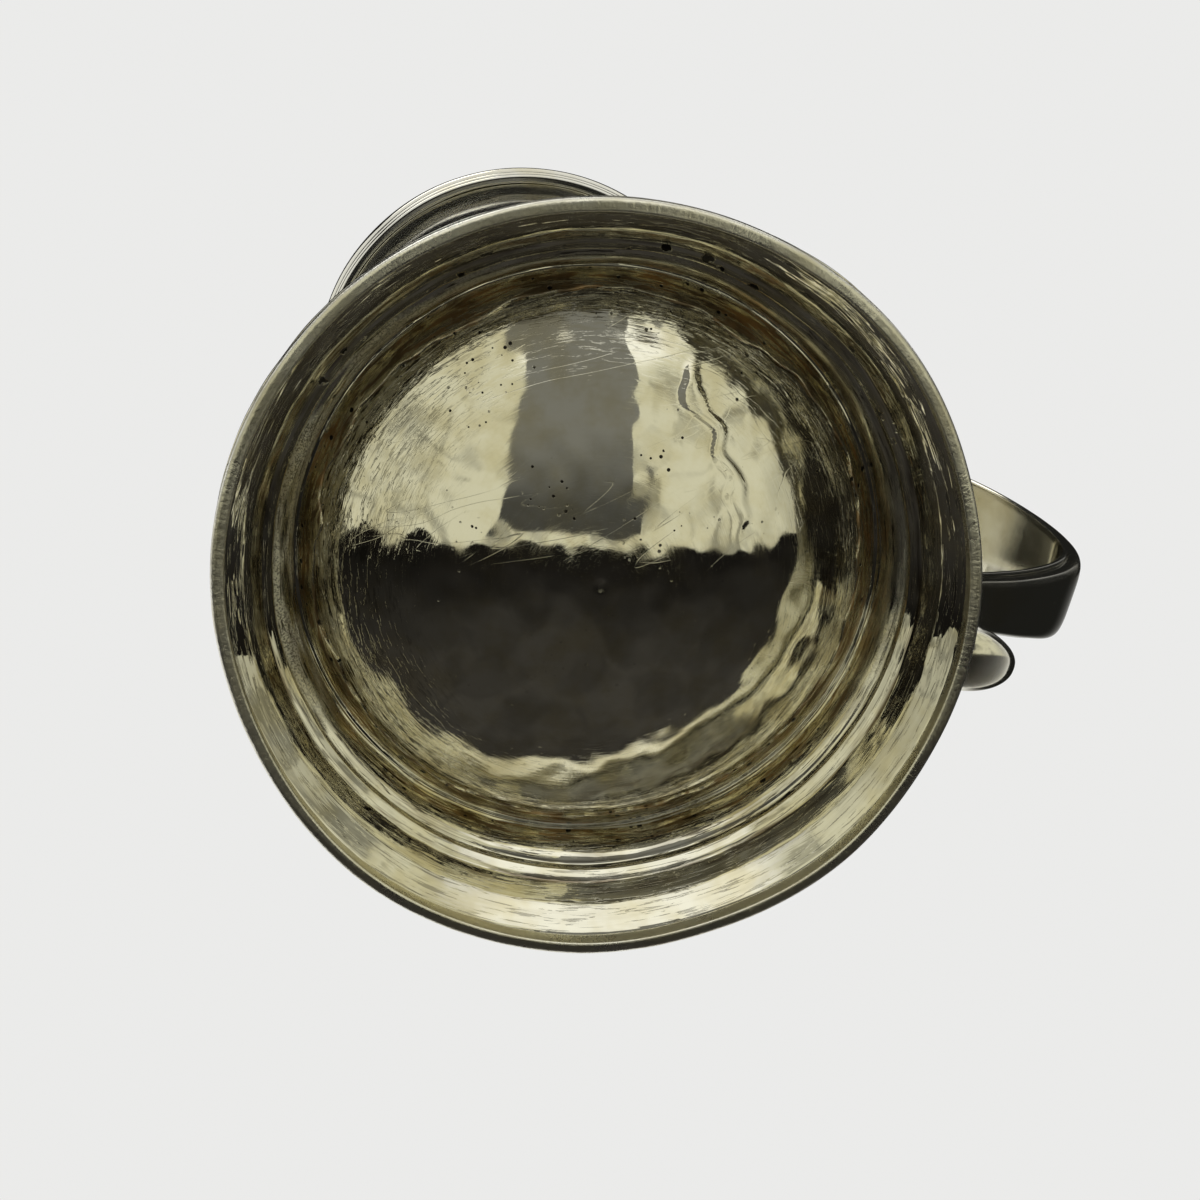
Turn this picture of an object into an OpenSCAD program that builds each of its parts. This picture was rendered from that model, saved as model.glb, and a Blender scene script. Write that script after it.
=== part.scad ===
// Silver mug: a raised baluster bowl on a spreading moulded foot, with a hollow scroll handle.
// Units are millimetres. +Z runs up the mug's axis, +X points to the handle,
// and the origin is the centre of the plane that the foot stands on.

/* [Bowl] */
// Height of the mug, from the resting plane to the top of the lip
mug_h = 128; // [118:1:140]
// Thickness of the raised wall
bowl_wall = 0.9; // [0.7:0.05:1.3]
// Height of the lowest point of the rounded base above the resting plane
base_lift = 3.2; // [2.2:0.1:4.5]
// Outside radius of curvature of the rounded base
base_curve_r = 52; // [48:1:60]
// Slope of the base where its rounding runs out into a cone, in degrees
base_slope = 25.4; // [24:0.2:27]
// Outside radius at which the cone turns up into the belly
base_edge_r = 29; // [28:0.25:30]
// Length over which the cone turns up
base_turn = 4.5; // [3.5:0.25:5.5]
// Length over which that turn runs into the belly
belly_lower_turn = 11; // [9:0.5:13]
// Outside radius at the belly
belly_r = 36.5; // [35:0.25:38]
// Height of the widest part of the belly
belly_z = 32; // [30:0.5:34]
// Length over which the belly turns into the side
belly_turn = 16; // [8:1:24]
// Outside radius at the waist
waist_r = 31.8; // [29:0.2:34]
// Drop from the top of the lip to the waist
waist_drop = 32; // [26:1:40]
// Length over which the side turns into the waist
waist_turn = 26; // [16:1:34]
// Outside radius of the wall at its upper edge
lip_r = 32.9; // [32:0.1:36]
// Outward lean of the wall at its upper edge, in degrees
lip_lean = 14; // [6:1:22]

/* [Lip band] */
// Radius of the round bead that caps the lip
lip_bead_r = 1.3; // [1:0.05:1.6]
// Height of the band below the top of the lip
lip_band_h = 5.4; // [4.6:0.1:7]
// Number of reeds below the bead
lip_reeds = 2; // [1:1:3]
// How far the middles of the bead and the reeds stand outside the wall
lip_stand = 0.55; // [0.5:0.05:0.7]
// How far neighbouring reeds run into each other
reed_lap = 0.1; // [0.08:0.01:0.2]

/* [Foot] */
// Outside radius of the foot at the resting plane
foot_r = 42.7; // [41:0.1:45]
// Radial width of the wire that the foot stands on
foot_wire_w = 1.5; // [1.2:0.05:2.2]
// Height of the wire that the foot stands on
foot_wire_h = 2.2; // [1.6:0.1:3]
// Thickness of the foot's skirt
skirt_wall = 1; // [0.8:0.05:1.2]
// Inside radius of the step between the skirt's two mouldings
step_r = 37.2; // [36.6:0.1:38]
// Height of the step, on the inside
step_z = 9.2; // [8:0.1:10.5]
// Height of the small upright face at the step
step_h = 1; // [0.6:0.1:1.6]
// Height of the cavetto above the step
cavetto_h = 5.3; // [4.6:0.1:5.4]
// Inside radius of the collar that hugs the base
collar_r = 33.6; // [33:0.1:34]
// Height of the collar above the cavetto, up behind the base
collar_h = 4; // [3.6:0.1:5]
// Length of the solder down the collar
solder_leg = 1.6; // [1.2:0.1:2]
// Width of the solder inwards from the collar
solder_w = 2.1; // [1.6:0.1:2.4]
// How far the solder's lower face is hollowed
solder_hollow = 0.2; // [0:0.05:0.3]
// Width of a soldered seam between curved faces
solder_gap = 0.1; // [0.05:0.01:0.2]

/* [Handle] */
// Drop from the top of the lip to where the handle springs from the wall
handle_drop = 27; // [23:1:34]
// Upward slant of the handle where it springs, in degrees
handle_rise = 25; // [10:1:30]
// Distance from the axis to the inside of the grip at its widest
handle_reach = 76; // [70:0.5:79]
// Height of the widest point of the grip
handle_reach_z = 69; // [64:1:73]
// Length over which the handle turns away from the wall
handle_top_turn = 32; // [26:1:36]
// Length over which the handle turns down to its widest point
handle_shoulder = 31; // [24:1:35]
// Length over which the handle turns in below its widest point
handle_lower_turn = 24; // [18:1:28]
// Height at which the handle's lower end seats
handle_seat_z = 25.5; // [24.5:0.25:28]
// Length of the straight seat at the handle's lower end
handle_seat_h = 6.6; // [6:0.1:8]
// Length over which the handle turns down into its seat
handle_seat_turn = 10; // [8:1:13]
// Width of the handle where it springs
handle_top_w = 14; // [12:0.5:17]
// Width of the handle at its lower end
handle_end_w = 6.2; // [6:0.1:8]
// Depth of the arched back where the handle springs
handle_top_d = 2.8; // [2.4:0.1:4]
// Depth of the arched back at the lower end
handle_end_d = 2.2; // [2:0.1:3]
// Thickness of the handle's arched sheet
handle_sheet = 0.7; // [0.5:0.05:0.9]
// Thickness of the flat strip that closes the handle
strip_t = 0.9; // [0.6:0.05:1.2]
// How far the strip's edges stand out past the arched sheet
strip_lip = 0.45; // [0.2:0.05:0.8]
// Radius of the vent hole in the strip
vent_r = 0.6; // [0.4:0.05:0.9]

/* [Handle tail] */
// Distance from the axis to the tip of the tail
tail_reach = 52.5; // [48:0.5:56]
// Height of the tip of the tail
tail_z = 12.5; // [10:0.5:15]
// Upward slant of the tail at its tip, in degrees
tail_rise = 12; // [0:1:25]
// Length over which the tail turns down from the seat
tail_drop = 8; // [5:0.5:10]
// Length over which the tail turns out to its tip
tail_turn = 8; // [5:0.5:10]
// Width of the tail at its fullest
tail_w = 9; // [8:0.1:11]
// Depth of the tail's rounded upper side at its fullest
tail_over = 2.8; // [2:0.1:3.4]
// Depth of the tail's rounded underside at its fullest
tail_under = 2.4; // [1.5:0.1:3]

/* [Handle pads] */
// Thickness of the upper pad between the wall and the handle
upper_pad_t = 1.6; // [1.2:0.1:2.4]
// Margin of the upper pad round the handle
upper_pad_margin = 1.1; // [0.6:0.1:1.8]
// Gap that the lower pad spans between the wall and the handle
lower_pad_t = 3.4; // [2.6:0.1:5]
// Radius of the lower pad
lower_pad_r = 2.8; // [2.2:0.1:2.9]

/* [Hidden] */
$fn = 96;
silver = [0.86, 0.85, 0.82];
warm_silver = [0.82, 0.8, 0.74];
solder_tone = [0.5, 0.4, 0.3];
// Points along each stretch of a profile, and rings along each stretch of the handle
arc_steps = 9;
side_steps = 14;
ring_steps = 22;
tail_steps = 16;
section_steps = 12;
// One part in this many of the upper curve lies between the handle's spring and its vent
vent_steps = 7;
// Shares of the tail's length at which it is fullest, and where its rounding would close
tail_full_at = 0.5;
tail_end_at = 1.008;
// Power that fills out the shoulders of the arched back, 1 for a plain half ellipse
arch_fullness = 0.5;
// Shares of the handle's length between which it narrows
narrow_from = 0.43;
narrow_to = 0.9;
// Overlap of a cutting solid past the face that it cuts
cut_over = 1;

// Curves
function bezier(a, b, c, d, t) =
    pow(1 - t, 3) * a + 3 * t * pow(1 - t, 2) * b + 3 * t * t * (1 - t) * c + pow(t, 3) * d;
function bezier_slope(a, b, c, d, t) =
    unit(pow(1 - t, 2) * (b - a) + 2 * t * (1 - t) * (c - b) + t * t * (d - c));
function bezier_stations(a, b, c, d, steps) =
    [for (i = [0:steps]) [bezier(a, b, c, d, i / steps), bezier_slope(a, b, c, d, i / steps)]];
function bezier_path(a, b, c, d, steps) = [for (i = [0:steps]) bezier(a, b, c, d, i / steps)];
function tail_of(list) = [for (i = [1:1:len(list) - 1]) list[i]];
function tail_of_both(list) = [for (i = [1:1:len(list) - 2]) list[i]];
function reversed(list) = [for (i = [len(list) - 1:-1:0]) list[i]];
function unit(v) = v / norm(v);
function left_normal(v) = [-v[1], v[0]];
function heading(angle) = [cos(angle), sin(angle)];
function path_tangent(p, i) = unit(p[min(i + 1, len(p) - 1)] - p[max(i - 1, 0)]);
function offset_path(p, d) = [for (i = [0:len(p) - 1]) p[i] + d * left_normal(path_tangent(p, i))];
function path_lengths(p) =
    [for (i = 0, s = 0; i < len(p); s = s + (i + 1 < len(p) ? norm(p[i + 1] - p[i]) : 0), i = i + 1) s];
// Eases from 1 at the start of a length to 0 at its end
function ease(t) = (1 + cos(180 * min(max(t, 0), 1))) / 2;

// Outside profile of the bowl, from the middle of its base to its upper edge
lip_z = mug_h - lip_bead_r;
waist_z = mug_h - waist_drop;
base_centre_z = base_lift + base_curve_r;
function base_point(a) = [base_curve_r * sin(a), base_centre_z - base_curve_r * cos(a)];
base_arc = [for (i = [0:arc_steps]) base_point(base_slope * i / arc_steps)];
dome_edge = base_arc[arc_steps];
base_edge = dome_edge + (base_edge_r - dome_edge[0]) / cos(base_slope) * heading(base_slope);
belly_path = bezier_path(base_edge, base_edge + base_turn * heading(base_slope),
                         [belly_r, belly_z - belly_lower_turn], [belly_r, belly_z], side_steps);
bowl_side = bezier_path([belly_r, belly_z], [belly_r, belly_z + belly_turn],
                        [waist_r, waist_z - waist_turn], [waist_r, waist_z], side_steps);
lip_rise = lip_z - waist_z;
bowl_lip = bezier_path([waist_r, waist_z], [waist_r, waist_z + lip_rise / 3],
                       [lip_r, lip_z] - lip_rise / 3 * [sin(lip_lean), cos(lip_lean)],
                       [lip_r, lip_z], side_steps);
bowl_outside = concat(base_arc, belly_path, tail_of(bowl_side), tail_of(bowl_lip));
bowl_table = [for (p = bowl_outside) [p[1], p[0]]];
// Outside radius of the bowl at a height
function bowl_r_at(z) = lookup(z, bowl_table);
// Height of the rounded underside at a radius
function bowl_z_at(r) = lookup(r, concat(base_arc, belly_path));

// A profile offset from the outside one, which starts on the axis and ends level at a height
function bowl_profile(d, top_z) = let (p = offset_path(bowl_outside, d))
    concat([[0, p[0][1]]], tail_of_both(p), [[p[len(p) - 1][0], top_z]]);

module bowl_core_2d(grow) {
    polygon(concat(bowl_profile(-grow, lip_z + grow), [[0, lip_z + grow]]));
}

module bowl_core(grow) {
    rotate_extrude() bowl_core_2d(grow);
}

module bowl() {
    inside = bowl_profile(bowl_wall, lip_z);
    color(silver) rotate_extrude() polygon(concat(bowl_outside, reversed(inside)));
}

// Lip band: a round bead caps the wall, with reeds round the outside below it
band_foot_z = mug_h - lip_band_h;
reed_pitch = (lip_band_h - 2 * lip_bead_r) / lip_reeds;
reed_r = reed_pitch / 2 + reed_lap;

module lip_band() {
    color(silver) rotate_extrude() difference() {
        union() {
            translate([lip_r - bowl_wall / 2 + lip_stand, lip_z]) circle(lip_bead_r);
            for (n = [0:lip_reeds - 1])
                let (z = band_foot_z + reed_r + n * reed_pitch)
                    translate([bowl_r_at(z) + lip_stand, z]) circle(reed_r);
        }
        bowl_core_2d(solder_gap);
    }
}

// Foot: a flange on a square wire, a flare, a step and a cavetto, all of even thickness
wire_in_r = foot_r - foot_wire_w;
skirt_foot_r = foot_r - (foot_wire_w + skirt_wall) / 2;
function flare_point(a) = [skirt_foot_r - (skirt_foot_r - step_r) * sin(a),
                           foot_wire_h + (step_z - foot_wire_h) * (1 - cos(a))];
cavetto_z = step_z + step_h;
cavetto_r = step_r - step_h;
collar_top_z = cavetto_z + cavetto_h + collar_h;
function cavetto_point(a) = [cavetto_r - (cavetto_r - collar_r) * sin(a),
                             cavetto_z + cavetto_h * (1 - cos(a))];
skirt_inside = concat([[foot_r, foot_wire_h]],
                      [for (i = [0:arc_steps]) flare_point(90 * i / arc_steps)],
                      [for (i = [0:arc_steps]) cavetto_point(90 * i / arc_steps)],
                      [[collar_r, collar_top_z]]);

module foot_skirt() {
    color(silver) rotate_extrude() difference() {
        polygon(concat(skirt_inside, reversed(offset_path(skirt_inside, -skirt_wall))));
        bowl_core_2d(solder_gap);
    }
}

module foot_wire() {
    color(silver) rotate_extrude() translate([wire_in_r, 0]) square([foot_wire_w, foot_wire_h]);
}

// Solder in the corner between the collar and the base, with a hollow lower face
solder_top = [collar_r, min(bowl_z_at(collar_r), collar_top_z)];
solder_low = solder_top - [0, solder_leg];
solder_in = [collar_r - solder_w, bowl_z_at(collar_r - solder_w)];
solder_middle = (solder_in + solder_low) / 2;
solder_pull = solder_middle + solder_hollow * unit(solder_top - solder_middle);

module foot_solder_fillet() {
    color(solder_tone) rotate_extrude() difference() {
        polygon(concat([solder_top], bezier_path(solder_in, solder_pull, solder_pull, solder_low, arc_steps)));
        bowl_core_2d(solder_gap);
        translate(solder_top - [solder_gap, 2 * solder_leg]) square(4 * solder_leg);
    }
}

// Line of the handle: the plane where its arched back meets its flat strip
handle_top_z = mug_h - handle_drop;
spring_point = [bowl_r_at(handle_top_z) + upper_pad_t, handle_top_z];
reach_point = [handle_reach, handle_reach_z];
seat_x = bowl_r_at(handle_seat_z) + lower_pad_t + strip_t;
seat_top = [seat_x, handle_seat_z + handle_seat_h / 2];
seat_foot = [seat_x, handle_seat_z - handle_seat_h / 2];
tail_tip = [tail_reach, tail_z];
down = [0, -1];
// A station is a point of the line and the line's direction there
upper_stations = bezier_stations(spring_point, spring_point + handle_top_turn * heading(handle_rise),
                                 reach_point - handle_shoulder * down, reach_point, ring_steps);
lower_stations = bezier_stations(reach_point, reach_point + handle_lower_turn * down,
                                 seat_top - handle_seat_turn * down, seat_top, ring_steps);
handle_stations = concat(upper_stations, tail_of(lower_stations), [[seat_foot, down]]);
tail_stations = bezier_stations(seat_foot, seat_foot + tail_drop * down,
                                tail_tip - tail_turn * heading(tail_rise), tail_tip, tail_steps);
handle_at = path_lengths([for (s = handle_stations) s[0]]);
handle_len = handle_at[len(handle_at) - 1];

// Sizes of the handle at a distance along its line
function taper_at(s) = ease((s / handle_len - narrow_from) / (narrow_to - narrow_from));
function handle_w_at(s) = handle_end_w + (handle_top_w - handle_end_w) * taper_at(s);
function handle_d_at(s) = handle_end_d + (handle_top_d - handle_end_d) * taper_at(s);
// A point of a section, y across the handle and n out from its line
function on_station(s, y, n) = let (out = left_normal(s[1])) [s[0][0] + n * out[0], y, s[0][1] + n * out[1]];
function swell(v) = sign(v) * pow(abs(v), arch_fullness);
function arch(half_w, d) = [for (j = [0:section_steps]) let (a = 180 * j / section_steps)
                            [half_w * swell(cos(a)), d * swell(sin(a))]];
function place(section, s) = [for (q = section) on_station(s, q[0], q[1])];

// A solid through rings of points. Each ring pairs its first half with its second half end to end.
module loft(rings) {
    k = len(rings[0]);
    last = (len(rings) - 1) * k;
    sides = [for (i = [0:len(rings) - 2]) for (j = [0:k - 1]) let (a = i * k + j, b = i * k + (j + 1) % k)
             each [[a, b + k, b], [a, a + k, b + k]]];
    caps = [for (j = [0:k / 2 - 2]) let (a = j, b = j + 1, c = k - 2 - j, d = k - 1 - j)
            each [[a, b, c], [a, c, d], [last + a, last + c, last + b], [last + a, last + d, last + c]]];
    polyhedron([for (r = rings) each r], concat(sides, caps));
}

function back_section(s) = let (w = handle_w_at(s) / 2, d = handle_d_at(s))
    concat(arch(w, d), reversed(arch(w - handle_sheet, d - handle_sheet)));
function strip_section(s) = let (w = handle_w_at(s) / 2 + strip_lip)
    [[w, -strip_t], [w, 0], [-w, 0], [-w, -strip_t]];

module handle_back() {
    color(silver) loft([for (i = [0:len(handle_stations) - 1])
                        place(back_section(handle_at[i]), handle_stations[i])]);
}

module handle_strip() {
    vent = bezier_stations(spring_point, spring_point + handle_top_turn * heading(handle_rise),
                           reach_point - handle_shoulder * down, reach_point, vent_steps)[1];
    vent_at = on_station(vent, 0, -strip_t / 2);
    color(warm_silver) difference() {
        loft([for (i = [0:len(handle_stations) - 1])
              place(strip_section(handle_at[i]), handle_stations[i])]);
        translate(vent_at) rotate([0, -atan2(vent[1][1], vent[1][0]), 0])
            cylinder(h = strip_t + 2 * cut_over, r = vent_r, center = true);
    }
}

// Tail: a solid drop that swells from the handle's end and rounds off at its tip
tail_start_w = handle_end_w / 2 + strip_lip;
function tail_swell(u) = sin(90 * min(u / tail_full_at, 1));
function tail_round(u) = u < tail_full_at ? 1 : sqrt(1 - pow((u - tail_full_at) / (tail_end_at - tail_full_at), 2));
function tail_section(u) =
    let (w = tail_start_w + (tail_w / 2 - tail_start_w) * tail_swell(u),
         over = handle_end_d + (tail_over - handle_end_d) * tail_swell(u),
         under = strip_t + (tail_under - strip_t) * tail_swell(u),
         round = tail_round(u))
    concat(arch(w * round, over * round), reversed(tail_of_both(arch(w * round, -under * round))));

module handle_tail() {
    color(silver) loft([for (i = [0:tail_steps]) place(tail_section(i / tail_steps), tail_stations[i])]);
}

// Pads that carry the handle on the wall
module upper_handle_pad() {
    half_w = handle_top_w / 2 + strip_lip + upper_pad_margin;
    half_d = (handle_top_d + strip_t) / 2 + upper_pad_margin;
    middle = (handle_top_d - strip_t) / 2;
    color(warm_silver) difference() {
        translate([spring_point[0], 0, spring_point[1]]) rotate([0, 90 - handle_rise, 0])
            translate([-middle, 0, -spring_point[0]]) linear_extrude(spring_point[0]) union() {
                translate([0, half_w - half_d]) circle(half_d);
                translate([0, half_d - half_w]) circle(half_d);
                square([2 * half_d, 2 * (half_w - half_d)], center = true);
            }
        bowl_core(solder_gap);
    }
}

module lower_handle_pad() {
    color(warm_silver) difference() {
        translate([0, 0, handle_seat_z]) rotate([0, 90, 0]) cylinder(h = seat_x - strip_t, r = lower_pad_r);
        bowl_core(solder_gap);
    }
}

bowl();
lip_band();
foot_skirt();
foot_wire();
foot_solder_fillet();
handle_back();
handle_strip();
handle_tail();
upper_handle_pad();
lower_handle_pad();
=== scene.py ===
"""A worn silver mug, seen from below in a pale studio. Sizes are in millimetres unless a name says so."""
import math

import bmesh
import bpy
import numpy as np
from mathutils import Matrix, Vector


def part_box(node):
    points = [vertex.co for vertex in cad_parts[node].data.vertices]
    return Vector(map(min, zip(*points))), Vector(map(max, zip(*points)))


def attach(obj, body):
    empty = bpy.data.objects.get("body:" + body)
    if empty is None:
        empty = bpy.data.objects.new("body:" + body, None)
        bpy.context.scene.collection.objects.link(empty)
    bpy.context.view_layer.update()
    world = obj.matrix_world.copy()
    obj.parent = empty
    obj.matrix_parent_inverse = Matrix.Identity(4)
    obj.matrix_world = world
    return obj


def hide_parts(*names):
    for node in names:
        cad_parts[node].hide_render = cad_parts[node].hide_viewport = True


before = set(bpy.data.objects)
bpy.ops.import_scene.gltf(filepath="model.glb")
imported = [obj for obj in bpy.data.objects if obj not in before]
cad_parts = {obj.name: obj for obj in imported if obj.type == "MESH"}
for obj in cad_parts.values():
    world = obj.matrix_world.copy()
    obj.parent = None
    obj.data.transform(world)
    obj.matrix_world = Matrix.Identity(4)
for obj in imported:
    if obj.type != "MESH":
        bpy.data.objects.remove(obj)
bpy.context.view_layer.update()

MM = 0.001
X, Z = 0, 2
AXIS = np.array([0.0, 0.0, 1.0])


def reach(node, axis, end=1):
    """The lowest (end 0) or highest (end 1) value of a node's box on an axis, in millimetres."""
    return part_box(node)[end][axis] / MM


# Sizes that the solids give
MUG_H = reach("lip_band", Z)
BELLY_R = reach("bowl", X)
BASE_Z = reach("bowl", Z, 0)
FOOT_R = reach("foot_wire", X)
FOOT_WIRE_H = reach("foot_wire", Z)

# Sizes of the bowl
BOWL_WALL = 0.9
BASE_CURVE_R = 52.0
BASE_SLOPE = math.radians(25.4)
BASE_EDGE_R = 29.0
BASE_TURN = 4.5
BELLY_Z = 32.0
BELLY_LOWER_TURN = 11.0
BELLY_TURN = 16.0
WAIST_R = 31.8
WAIST_Z = 96.0
WAIST_TURN = 26.0
LIP_R = 32.9
LIP_LEAN = math.radians(14)

# Sizes of the lip band; its arcs are in degrees
LIP_BEAD_R = 1.3
LIP_BAND_H = 5.4
LIP_REEDS = 2
LIP_STAND = 0.55
REED_LAP = 0.1
LIP_Z = MUG_H - LIP_BEAD_R
BEAD_ARC = (180, -62)
REED_ARC = (55, -58)
BAND_TOE_W = 0.25
BAND_TOE_H = 0.3
BAND_BACK_IN = 0.1
BAND_BACK_DROP = 0.3
BAND_TOP_RISE = 0.05
BAND_SOFT = 0.16

# Sizes of the foot
FOOT_WIRE_W = 1.5
WIRE_CORNER = 0.3
WIRE_WORN_CORNER = 0.6
SKIRT_WALL = 1.0
SKIRT_INNER_SOFT = 0.14
SKIRT_OUTER_SOFT = 0.5
STEP_R = 37.2
FLARE_TURN = np.array([38.85, 4.8])
FLARE_SOFT = 1.3
BEVEL_Z = 8.3
BEVEL = 0.85
BEVEL_GROOVE = 0.3
CAVETTO_Z = 10.4
CAVETTO_H = 5.3
COLLAR_R = 33.6
COLLAR_TOP_Z = 17.0
RIDGE_W = 0.6
RIDGE_DROP = 0.1
LEDGE_W = 0.3
LEDGE_DROP = 0.05
SOLDER_W = 2.1
SOLDER_T = 0.5
SOLDER_LAP = 0.2
SOLDER_RISE = 0.25
SOLDER_PROUD = 0.12
SOLDER_BELLY = 0.22

# Sizes of the handle
HANDLE_TOP_Z = 101.0
HANDLE_RISE = math.radians(25)
HANDLE_REACH = 76.0
HANDLE_REACH_Z = 69.0
HANDLE_TOP_TURN = 32.0
HANDLE_SHOULDER = 31.0
HANDLE_LOWER_TURN = 24.0
HANDLE_SEAT_Z = 25.5
HANDLE_SEAT_H = 6.6
HANDLE_SEAT_TURN = 10.0
HANDLE_TOP_W = 14.0
HANDLE_END_W = 6.2
HANDLE_TOP_D = 2.8
HANDLE_END_D = 2.2
NARROW_FROM = 0.43
NARROW_TO = 0.9
STRIP_T = 0.9
STRIP_LIP = 0.45
STRIP_DISH = 0.3
ARCH_FULLNESS = 0.5
UPPER_PAD_T = 1.6
TAIL_TIP = np.array([52.5, 12.5])
TAIL_RISE = math.radians(12)
TAIL_DROP = 8.0
TAIL_TURN = 8.0
TAIL_W = 9.0
TAIL_OVER = 2.8
TAIL_UNDER = 2.4
TAIL_FULL_AT = 0.5
TAIL_FULLNESS = 0.8
TAIL_END = 1.005

# Fineness of the meshes: columns round a piece, points along curves, and gaps between rows
BOWL_COLUMNS = 400
LIP_COLUMNS = 320
SKIRT_COLUMNS = 420
RING_COLUMNS = 480
TAIL_COLUMNS = 48
FLOOR_COLUMNS = 96
CURVE_STEPS = 60
NECK_STEPS = 40
HANDLE_STEPS = 80
BEAD_STEPS = 44
REED_STEPS = 18
CORNER_STEPS = 6
ARC_POINTS = 41
EDGE_POINTS = 9
STRIP_POINTS = 15
BASE_GAP = 0.36
WALL_GAP = 1.1
LINING_GAP = 1.2
SKIRT_INNER_GAP = 0.22
SKIRT_OUTER_GAP = 0.5
HANDLE_GAP = 0.6
TAIL_GAP = 0.2

# Unevenness: the height, the wavelength and the seed of each ripple
FOOT_WAVES = ((0.16, 34, 5),)
BOWL_WAVES = ((0.014, 9, 11), (0.04, 26, 12))
BASE_WAVES = ((0.016, 5.5, 13), (0.012, 3.2, 15))
CREASE_WAVES = ((0.35, 4.5, 14),)
LIP_WAVES = ((0.03, 16, 21),)
SKIRT_WAVES = ((0.09, 22, 31), (0.03, 8, 32), (0.008, 3.5, 33))
SOLDER_EDGE_WAVES = ((0.28, 14, 41), (0.16, 5, 42))
SOLDER_BELLY_WAVES = ((0.5, 6, 43),)
WIRE_WAVES = ((0.05, 45, 51), (0.03, 12, 52))
HANDLE_WAVES = ((0.02, 11, 61), (0.03, 30, 62))
WAVE_SPREAD = (0.7, 1.4)

# The camera: its tilt from the axis, its distance, and how the handle and the axis lie in the picture
PICTURE = 1200
TILT = math.radians(18)
CAMERA_FAR = 225.0
FOCAL_PX = 2062.5
SENSOR_W = 36
CLIP_M = (0.01, 20)
HANDLE_TURN = math.radians(15.2)
AXIS_PX = np.array([-0.349, -0.937])
ORIGIN_PX = np.array([604.0, 594.8])


# Curves and grids
def heading(angle):
    """A direction in a plane."""
    return np.array([math.cos(angle), math.sin(angle)])


def bezier(a, b, c, d, steps):
    """Points of a cubic curve, steps + 1 of them."""
    a, b, c, d = (np.asarray(p, float) for p in (a, b, c, d))
    t = np.linspace(0, 1, steps + 1)[:, None]
    return (1 - t) ** 3 * a + 3 * t * (1 - t) ** 2 * b + 3 * t * t * (1 - t) * c + t ** 3 * d


def arc(centre, radius, start, end, steps):
    """Points of an arc from one angle to another, in degrees."""
    a = np.radians(np.linspace(start, end, steps + 1))
    return np.asarray(centre, float) + radius * np.stack([np.cos(a), np.sin(a)], 1)


def joined(*runs):
    """Runs of points end to end, with no point twice."""
    points = np.concatenate(runs)
    step = np.linalg.norm(np.diff(points, axis=0), axis=1)
    return points[np.concatenate([[True], step > 1e-4])]


def spaced(points, gap):
    """The same line with its points a given gap apart."""
    far = np.concatenate([[0], np.cumsum(np.linalg.norm(np.diff(points, axis=0), axis=1))])
    at = np.linspace(0, far[-1], max(2, int(far[-1] / gap) + 1))
    return np.stack([np.interp(at, far, points[:, k]) for k in range(points.shape[1])], 1)


def left_of(points):
    """The unit direction to the left of a plane line, at each of its points."""
    along = np.gradient(points, axis=0)
    along /= np.linalg.norm(along, axis=1, keepdims=True)
    return np.stack([-along[:, 1], along[:, 0]], 1)


def offset(points, distance):
    """A plane line moved to its left."""
    return points + distance * left_of(points)


def softened(points, length, gap=0.08):
    """A line whose corners are rounded off by averaging over about the given length."""
    fine = spaced(points, gap)
    steps = max(1, int(length / gap))
    weights = np.hanning(2 * steps + 3)[1:-1]
    weights /= weights.sum()
    padded = np.concatenate([np.repeat(fine[:1], steps, 0), fine, np.repeat(fine[-1:], steps, 0)])
    return np.stack([np.convolve(padded[:, k], weights, "valid") for k in (0, 1)], 1)


def smooth(t):
    """Rises from 0 to 1 with flat ends."""
    t = np.clip(t, 0, 1)
    return t * t * (3 - 2 * t)


def circle(radius, turn):
    """Points round the axis at the given angles, on the plane that the mug stands on."""
    return radius * np.stack([np.cos(turn), np.sin(turn), 0 * turn], -1)


def revolved(profile, columns):
    """A profile of (radius, height) turned round the axis, as a grid of points."""
    turn = np.linspace(0, 2 * np.pi, columns, endpoint=False)
    r, z = profile[:, 0:1], profile[:, 1:2]
    return np.stack([r * np.cos(turn), r * np.sin(turn), z + 0 * turn], -1)


def radii(grid):
    """How far each point of a grid lies from the axis."""
    return np.hypot(grid[..., 0], grid[..., 1])


def turns(grid):
    """The angle of each point of a grid round the axis."""
    return np.arctan2(grid[..., 1], grid[..., 0])


def grid_normals(grid, closed):
    """The unit normal at each point of a grid whose columns run round."""
    across = np.roll(grid, -1, 1) - np.roll(grid, 1, 1)
    along = np.roll(grid, -1, 0) - np.roll(grid, 1, 0) if closed else np.gradient(grid, axis=0)
    normal = np.cross(across, along)
    return normal / np.maximum(np.linalg.norm(normal, axis=-1, keepdims=True), 1e-9)


def ripple(points, wavelength, seed, waves=28):
    """A smooth random field over points, about one unit high."""
    rng = np.random.default_rng(seed)
    direction = rng.normal(size=(waves, 3))
    direction /= np.linalg.norm(direction, axis=1, keepdims=True)
    length = wavelength * rng.uniform(*WAVE_SPREAD, waves)
    phase = rng.uniform(0, 2 * np.pi, waves)
    field = np.zeros(points.shape[:-1])
    for q, far, start in zip(direction, length, phase):
        field += np.sin(points @ q * (2 * np.pi / far) + start)
    return field / math.sqrt(waves / 2)


def uneven(points, waves):
    """Several ripples added up."""
    return sum(height * ripple(points, wavelength, seed) for height, wavelength, seed in waves)


def roughened(grid, waves, closed):
    """A grid with an uneven surface."""
    return grid + uneven(grid, waves)[..., None] * grid_normals(grid, closed)


def face_outwards(mesh):
    """Turns the faces of a closed skin outwards."""
    build = bmesh.new()
    build.from_mesh(mesh)
    bmesh.ops.recalc_face_normals(build, faces=build.faces)
    build.to_mesh(mesh)
    build.free()


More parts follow.
